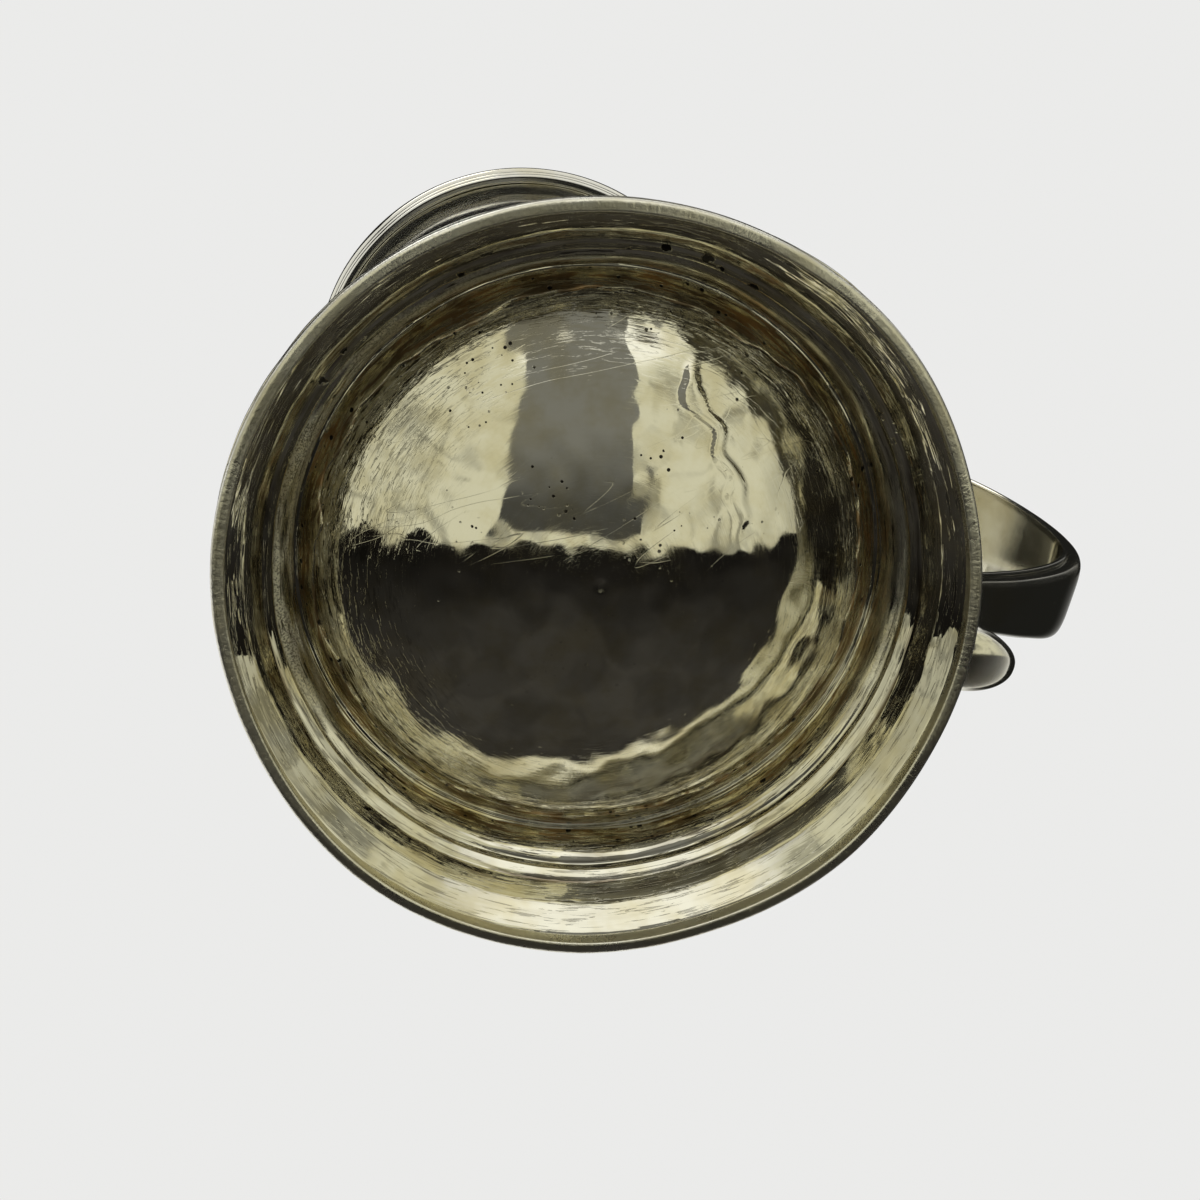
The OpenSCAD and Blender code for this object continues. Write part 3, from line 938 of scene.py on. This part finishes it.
def base_silver():
    """The underside: brushed round and round, scratched, pitted, and streaked towards its edge."""
    material, tree = new_material("silver_base")
    place = millimetres(tree)
    edge, turned, left, upper = base_zones(tree, place)
    streak = noise(tree, round_place(tree, place, 8, 1.7), 1.0, 3, 0.55, 0.3)
    fine = noise(tree, round_place(tree, place, 9, 2.0), 1.0, 3, 0.6, 0.4)
    brush = noise(tree, round_place(tree, place, 6, 9), 1.0, 2, 0.55)
    wave = noise(tree, place, 0.4, 0)
    cloud = noise(tree, place, 0.22, 3, 0.6)
    worn = spread(tree, streak, 0.5, 0.7)
    lines = total(tree, hairlines(tree, place, 0.5, 30, 2.4, 0.008, 1.3),
                  hairlines(tree, place, 0.8, 26, 2.8, 0.007, 9.4))
    patches = spread(tree, noise(tree, place, 0.16, 1), 0.54, 0.62)
    spots = times(tree, pits(tree, place, 1.7, 0.3, 0.4), patches)
    spots = times(tree, spots, total(tree, times(tree, upper, 0.85), 0.15))
    edge_force = times(tree, edge, total(tree, times(tree, left, 0.7), 0.12))
    force = total(tree, edge_force, times(tree, turned, 1.6), 0.03)
    # Darker lines along fine grooves of the streaks, most near the base's turned edge and on its left
    valley_force = total(tree, times(tree, turned, 0.6), times(tree, edge, left, 0.45))
    valley = times(tree, spread(tree, fine, 0.43, 0.39), valley_force)
    groove_share = total(tree, times(tree, calc(tree, "MAXIMUM", upper, turned), 0.65), 0.35)
    groove = times(tree, spread(tree, streak, 0.46, 0.4), times(tree, force, groove_share))
    stain_force = total(tree, times(tree, turned, 0.12), times(tree, edge, 0.06))
    stained = times(tree, spread(tree, cloud, 0.42, 0.7), stain_force)
    colour = tint(tree, spread(tree, cloud, 0.35, 0.75), SILVER, SILVER_WARM)
    colour = tint(tree, times(tree, worn, edge, 0.55), colour, SILVER_WARM)
    colour = tint(tree, stained, colour, TARNISH)
    colour = tint(tree, valley, colour, DARK_TONE)
    colour = tint(tree, spots, colour, PIT)
    rough = total(tree, times(tree, spread(tree, brush, 0.5, 0.75), 0.09),
                  times(tree, spread(tree, cloud, 0.4, 0.7), 0.05),
                  times(tree, lines, upper, 0.12), times(tree, spots, 0.3), 0.03)
    height = total(tree, times(tree, streak, force, 0.028), times(tree, groove, -0.016),
                   times(tree, brush, 0.0016), times(tree, wave, 0.03),
                   times(tree, lines, upper, -0.004), times(tree, spots, -0.05))
    finish_metal(tree, colour, rough, height)
    return material


def between(tree, z, low, low_full, high_full, high):
    """A share that is full between two heights and fades out below and above them."""
    return times(tree, spread(tree, z, low, low_full), spread(tree, z, high, high_full))


def skirt_zones(tree, place):
    """Bands of the foot's inside: its hollow, the step, and the strip below the step."""
    z = height_of(tree, place)
    step_z = BEVEL_Z + BEVEL
    hollow = between(tree, z, step_z + 0.4, step_z + 1.2, COLLAR_TOP_Z - 2.6, COLLAR_TOP_Z - 1.6)
    step = between(tree, z, BEVEL_Z - 1.6, BEVEL_Z - 0.2, step_z + 0.5, step_z + 1.4)
    below_step = between(tree, z, BEVEL_Z - 3.0, BEVEL_Z - 0.4, BEVEL_Z - 0.2, BEVEL_Z + 0.3)
    return hollow, step, below_step


def skirt_silver():
    """The foot's inside: streaked all round, frosted in its hollow, brown and pitted at its step."""
    material, tree = new_material("silver_skirt")
    place = millimetres(tree)
    hollow, step, below_step = skirt_zones(tree, place)
    up = reach_along(tree, place, up_flat)
    left = spread(tree, reach_along(tree, place, -right_flat), 8, 30)
    back = spread(tree, up, 8, 26)
    not_front = spread(tree, up, -24, -9)
    streak = noise(tree, round_place(tree, place, 5, 0.8, -1.0), 1.0, 2, 0.5, 0.5)
    fine = noise(tree, round_place(tree, place, 7, 2.2, -1.0), 1.0, 3, 0.6, 0.5)
    brush = noise(tree, round_place(tree, place, 5, 5, -1.0), 1.0, 2, 0.5)
    cloud = noise(tree, place, 0.16, 3, 0.6)
    speck = noise(tree, place, 4.0, 2, 0.6)
    patchy = spread(tree, noise(tree, round_place(tree, place, 4, 0.4, -1.0), 1.0, 2), 0.3, 0.55)
    frost = times(tree, hollow, patchy, not_front, total(tree, times(tree, left, 0.9), 0.35))
    shift = add(tree, "ShaderNodeTexNoise", {"Vector": place, "Scale": 1.6}).outputs["Color"]
    ragged = vector(tree, "ADD", place, shift).outputs[0]
    spots = times(tree, pits(tree, ragged, 0.55, 0.7, 0.5), step, back)
    brown_force = total(tree, times(tree, below_step, 0.75), times(tree, hollow, 0.25), 0.1)
    brown = times(tree, brown_force, spread(tree, streak, 0.4, 0.65))
    # Darker lines along the fine grooves that the relief cuts, more in the hollow
    valley = times(tree, spread(tree, fine, 0.42, 0.37), total(tree, times(tree, hollow, 0.4), 0.5))
    groove = spread(tree, fine, 0.44, 0.39)
    grains = times(tree, frost, spread(tree, speck, 0.52, 0.42), 0.5)
    colour = tint(tree, spread(tree, cloud, 0.4, 0.7), SILVER, SILVER_WARM)
    colour = tint(tree, brown, colour, TARNISH)
    colour = tint(tree, calc(tree, "MAXIMUM", valley, grains), colour, DARK_TONE)
    colour = tint(tree, spots, colour, PIT)
    rough = total(tree, times(tree, frost, 0.58), times(tree, spread(tree, brush, 0.55, 0.8), 0.06),
                  times(tree, spots, 0.3), 0.03)
    height = total(tree, times(tree, streak, 0.04), times(tree, groove, -0.007),
                   times(tree, speck, frost, 0.05), times(tree, spots, -0.16))
    finish_metal(tree, colour, rough, height)
    return material


def wire_silver():
    """The wire's flat: filed on a slant, worn grey and grained."""
    material, tree = new_material("silver_wire")
    place = millimetres(tree)
    file_marks = noise(tree, round_place(tree, place, 75, 1.2), 1.0, 2, 0.6)
    grain = noise(tree, place, 4.5, 2, 0.6)
    cloud = noise(tree, place, 0.12, 3)
    worn = noise(tree, round_place(tree, place, 7, 0.8), 1.0, 2)
    colour = tint(tree, times(tree, spread(tree, cloud, 0.4, 0.65), 0.6), SILVER, SILVER_WARM)
    colour = tint(tree, times(tree, spread(tree, worn, 0.55, 0.72), 0.12), colour, TARNISH)
    clouded = times(tree, spread(tree, cloud, 0.35, 0.65), 0.12)
    rough = total(tree, times(tree, file_marks, 0.12), clouded, 0.2)
    height = total(tree, times(tree, file_marks, 0.06), times(tree, grain, 0.014), times(tree, worn, 0.05))
    finish_metal(tree, colour, rough, height)
    return material


def brown_solder():
    """Solder gone brown, with streaks rubbed bright."""
    material, tree = new_material("solder_brown")
    place = millimetres(tree)
    streak = noise(tree, round_place(tree, place, 8, 1.5), 1.0, 3, 0.6, 0.5)
    cloud = noise(tree, place, 0.13, 3, 0.6)
    spots = pits(tree, place, 1.0, 0.3, 0.45)
    colour = tint(tree, spread(tree, cloud, 0.4, 0.62), SOLDER_DARK, RUST)
    colour = tint(tree, spread(tree, streak, 0.44, 0.54), colour, SILVER_WARM)
    colour = tint(tree, spots, colour, PIT)
    rough = total(tree, times(tree, spread(tree, streak, 0.65, 0.4), 0.3), 0.07)
    height = total(tree, times(tree, streak, 0.1), times(tree, spots, -0.06))
    finish_metal(tree, colour, rough, height)
    return material


# Stage: cards that only the metal sees, placed by right and up in the picture, and the floor and surround.
# The cards glow though they are no lamps: they are painted reflections, bright and dark
ABOVE, BELOW = 1, -1
TENT_FAR = 900.0
WALL_FAR = 700.0
FLAG_FAR = 600.0
OVERHEAD_FAR = 800.0
CARD_POINTS = 25
CARD_RIM = 0.02
FLOOR_CARD_Z = 2.0
FLAG_SIDES = (0.5, -0.1)
FLOOR_CLEAR = 70.0
FLOOR_UNDER_FOOT = 1.0
FLOOR_RINGS = (200, 3000)
FLOOR_DROP = 0.02
# Glow colours of the cards, which are painted reflections, then the floor and the surround
CARD_DARK = (0.012, 0.012, 0.011, 1)
TENT_WARM = (1.0, 0.93, 0.82, 1)
WALL_LOW = (1.0, 0.975, 0.74, 1)
WALL_HIGH = (1.0, 0.99, 0.9, 1)
FLAG_GLOW_TINT = (1.0, 0.99, 0.88, 1)
FLOOR_PALE = (0.8, 0.8, 0.79, 1)
SURROUND = (0.83, 0.83, 0.82, 1)
SURROUND_LIGHT = (1, 1, 1, 1)
SURROUND_LEVEL = 0.75
# Lamps, in metres and watts: name, place, size and power
LAMPS = (
    ("key", (-0.7, -0.8, 0.9), (0.8, 0.8), 2.5),
    ("fill", (0.9, -0.5, 0.6), (0.6, 0.9), 1.3),
)
LAMP_TARGET = (0, 0, 0.06)


def make_card(name, points, rows, columns, material):
    """A card over a grid of points, which the camera and the diffuse light pass by."""
    piece = smooth_object(name, points, patch_faces(rows, columns), False)
    piece.data.materials.append(material)
    piece.visible_camera = False
    piece.visible_diffuse = False
    piece.visible_shadow = False
    piece.visible_transmission = False


def dome_card(name, rights, ups, far, side, material, slant=0.0):
    """A patch of a sphere round the foot, above or below the floor, over ranges of right and up.

    The slant moves the upper end of its left edge to the right.
    """
    shares = np.linspace(0, 1, CARD_POINTS)
    share, up = np.meshgrid(shares, np.linspace(*ups, CARD_POINTS), indexing="ij")
    left = rights[0] + slant * (up - ups[0]) / (ups[1] - ups[0])
    right = left + (rights[1] - left) * share
    away = np.sqrt(np.maximum(1 - right ** 2 - up ** 2, CARD_RIM ** 2)) * side
    points = right[..., None] * right_flat + up[..., None] * up_flat + away[..., None] * AXIS
    make_card(name, far * points.reshape(-1, 3), CARD_POINTS, CARD_POINTS, material)


def tent_reflection_glow():
    """A faintly glowing card that only the metal sees: a painted reflection of a dark cloth, darkest where it
    meets the wall of light, with painted shading in fold-like patches.
    """
    material, tree = new_material("tent_reflection_glow")
    place = metres(tree)
    level = spread(tree, reach_along(tree, place, -up_flat), 0.1, 0.62)
    # Painted shading of fold-like patches in the glow
    fold_shading = spread(tree, noise(tree, place, 5.0, 2), 0.3, 0.7)
    depth = total(tree, times(tree, fold_shading, 0.45), 0.85)
    finish_glow(tree, TENT_WARM, times(tree, total(tree, times(tree, level, 0.03), 0.007), depth))
    return material


def wall_warm():
    """A warm wall of light, brighter where it rises above what the base shows of it."""
    material, tree = new_material("wall_warm")
    place = metres(tree)
    size = WALL_FAR * MM
    high = spread(tree, reach_along(tree, place, up_flat), 0.64 * size, 0.76 * size)
    low = rest_of(tree, high)
    aside = calc(tree, "ABSOLUTE", reach_along(tree, place, right_flat))
    # Painted shade on this glowing wall: dimmer at its upper corners, in fold-like patches of its lower part,
    # and at its far sides
    corner = times(tree, high, spread(tree, aside, 0.35 * size, 0.75 * size))
    fold_shading = times(tree, spread(tree, noise(tree, place, 7.0, 2, 0.5, 0.6), 0.5, 0.7), low)
    side = times(tree, spread(tree, aside, 0.74 * size, 0.9 * size), low)
    level = total(tree, times(tree, high, 0.36), times(tree, corner, -0.55), times(tree, side, -0.2), 0.66)
    strength = times(tree, level, rest_of(tree, times(tree, fold_shading, 0.55)))
    finish_glow(tree, tint(tree, high, WALL_LOW, WALL_HIGH), strength)
    return material


def flag_reflection_glow():
    """A glowing card that only the metal sees: a painted reflection of a grey flag, darker towards its lower
    end.
    """
    material, tree = new_material("flag_reflection_glow")
    size = FLAG_FAR * MM
    high = spread(tree, reach_along(tree, metres(tree), up_flat), 0.02 * size, 0.5 * size)
    finish_glow(tree, FLAG_GLOW_TINT, total(tree, times(tree, high, 0.13), 0.06))
    return material


def plain_dark_reflection():
    """A plain dark card that glows faintly and shows only in the metal: a painted dark reflection."""
    material, tree = new_material("flag_above")
    finish_glow(tree, CARD_DARK, 1.0)
    return material


def make_below():
    """Glowing cards below the floor that only the metal sees, as painted reflections: a dark tent, a warm
    wall of light, and a grey flag in front of it.
    """
    dome_card("tent", (-0.999, 0.999), (-0.999, 0.999), TENT_FAR, BELOW, tent_reflection_glow())
    dome_card("wall_light", (-1.0, 1.0), (-0.12, 1.0), WALL_FAR, BELOW, wall_warm())
    dome_card("flag", (-0.46, 0.27), (-0.03, 0.78), FLAG_FAR, BELOW, flag_reflection_glow(), slant=0.26)


def soft_dark_reflection(name, middle, dark_to, clear_from, facing=None):
    """A dark card that fades out between two distances from its middle, and to the sides of a direction. It
    glows faintly and shows only in the metal: a painted dark reflection.
    """
    material, tree = new_material(name)
    place = millimetres(tree)
    far = vector(tree, "DISTANCE", place, tuple(middle)).outputs["Value"]
    faded = spread(tree, far, dark_to, clear_from)
    if facing is not None:
        ahead = reach_along(tree, outward(tree, place), facing)
        faded = calc(tree, "MAXIMUM", faded, spread(tree, ahead, *FLAG_SIDES))
    dark = add(tree, "ShaderNodeEmission", {"Color": CARD_DARK, "Strength": 1.0})
    finish_part_clear(tree, dark, faded)
    return material


def upright_card(name, turn, far, width, height):
    """A flat dark card standing on the floor, square to a direction round the axis, with soft edges: a
    painted dark reflection, seen only in the metal.
    """
    out = circle(1.0, turn)
    half = width / 2 * np.cross(AXIS, out)
    top = height * AXIS
    corners = [far * out - half, far * out + half, far * out - half + top, far * out + half + top]
    material = soft_dark_reflection(name + "_dark", far * out, width * 0.2, width * 0.5)
    make_card(name, corners, 2, 2, material)


def floor_card(name, turn, half_turn, near, far):
    """A flat dark card lying just over the floor, a sector of a ring that fades out towards its far side: a
    painted dark reflection, seen only in the metal.
    """
    angles = np.linspace(turn - half_turn, turn + half_turn, CARD_POINTS)
    points = np.concatenate([circle(near, angles), circle(far, angles)]) + FLOOR_CARD_Z * AXIS
    out = circle(1.0, turn)
    material = soft_dark_reflection(name + "_dark", near * out, near * 0.8, far - near, out)
    make_card(name, points, 2, CARD_POINTS, material)


def make_above():
    """Dark cards above the floor that only the metal sees: painted dark reflections, which give the bright
    outside its dark lines.
    """
    dome_card("overhead_flag", (-0.72, 0.7), (-0.25, 0.62), OVERHEAD_FAR, ABOVE, plain_dark_reflection())
    upright_card("handle_flag", turn=0, far=120, width=420, height=420)
    floor_card("floor_flag", turn=turn_of(lean), half_turn=math.radians(100), near=55, far=330)


def make_floor():
    """A pale floor that shows only from above, open where the foot stands."""
    rings = np.array([[r, 0] for r in (FOOT_R - FLOOR_UNDER_FOOT, *FLOOR_RINGS)], float)
    grid = revolved(rings, FLOOR_COLUMNS)
    upwards = [face[::-1] for face in grid_faces(len(rings), FLOOR_COLUMNS, False)]
    floor = smooth_object("floor", grid.reshape(-1, 3), upwards, False)
    floor.location.z = -FLOOR_DROP * MM
    material, tree = new_material("floor_pale")
    pale = add(tree, "ShaderNodeBsdfDiffuse", {"Color": FLOOR_PALE})
    back = add(tree, "ShaderNodeNewGeometry").outputs["Backfacing"]
    glossy = add(tree, "ShaderNodeLightPath").outputs["Is Glossy Ray"]
    near = spread(tree, radius_of(tree, millimetres(tree)), FOOT_R + FLOOR_CLEAR, FOOT_R)
    finish_part_clear(tree, pale, calc(tree, "MAXIMUM", back, times(tree, glossy, near)))
    floor.data.materials.append(material)


def make_world():
    """An even pale surround: what the camera and the metal see, and a softer level that lights."""
    world = bpy.data.worlds.new("studio")
    bpy.context.scene.world = world
    world.use_nodes = True
    tree = world.node_tree
    tree.nodes.clear()
    path = add(tree, "ShaderNodeLightPath")
    seen = calc(tree, "MAXIMUM", path.outputs["Is Camera Ray"], path.outputs["Is Glossy Ray"])
    seen = calc(tree, "MAXIMUM", seen, path.outputs["Is Transmission Ray"])
    light = add(tree, "ShaderNodeBackground", {"Color": SURROUND_LIGHT, "Strength": SURROUND_LEVEL})
    pale = add(tree, "ShaderNodeBackground", {"Color": SURROUND, "Strength": 1.0})
    mix = add(tree, "ShaderNodeMixShader", {0: seen, 1: light.outputs[0], 2: pale.outputs[0]})
    add(tree, "ShaderNodeOutputWorld", {"Surface": mix.outputs[0]})


def area_light(name, place, size, power):
    """A soft rectangular lamp that is turned to the mug."""
    data = bpy.data.lights.new(name, "AREA")
    data.shape = "RECTANGLE"
    data.size, data.size_y = size
    data.energy = power
    lamp = linked(name, data)
    lamp.location = place
    lamp.rotation_euler = (Vector(LAMP_TARGET) - Vector(place)).to_track_quat("-Z", "Y").to_euler()


def make_camera():
    """The photograph's camera."""
    data = bpy.data.cameras.new("camera")
    data.sensor_width = SENSOR_W
    data.lens = FOCAL_PX / PICTURE * data.sensor_width
    data.clip_start, data.clip_end = CLIP_M
    camera = linked("camera", data)
    turn = Matrix([picture_right, -picture_down, -view_dir]).transposed().to_4x4()
    camera.matrix_world = Matrix.Translation(Vector(camera_at * MM)) @ turn
    off_centre = (ORIGIN_PX - PICTURE / 2) / PICTURE
    data.shift_x, data.shift_y = -off_centre[0], off_centre[1]
    bpy.context.scene.camera = camera


def place_pieces():
    """Makes every piece, gives it its materials, hangs it under the root, and hides the solid that it stands
    for.
    """
    line = handle_line()
    share = np.linspace(0, 1, len(line))
    rubbed = plain_silver()
    made = (
        (make_bowl(), "bowl", "silver", (rubbed, base_silver())),
        (make_lip_band(), "lip_band", "silver", (rubbed,)),
        (make_foot_skirt(), "foot_skirt", "silver", (skirt_silver(), rubbed)),
        (make_foot_wire(), "foot_wire", "silver", (wire_silver(),)),
        (make_solder_fillet(), "foot_solder_fillet", "solder", (brown_solder(),)),
        (make_handle_back(line, share), "handle_back", "silver", (rubbed,)),
        (make_handle_strip(line, share), "handle_strip", "silver", (rubbed,)),
        (make_handle_tail(), "handle_tail", "silver", (rubbed,)),
    )
    for piece, node, slot, materials in made:
        for material in materials:
            piece.data.materials.append(material)
        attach(piece, "root")
        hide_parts(node)
    for node in ("upper_handle_pad", "lower_handle_pad"):
        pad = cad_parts[node]
        pad.data.materials.clear()
        pad.data.materials.append(rubbed)


place_pieces()
make_below()
make_above()
make_floor()
make_world()
for lamp in LAMPS:
    area_light(*lamp)
make_camera()
bpy.context.scene.view_settings.view_transform = "Standard"
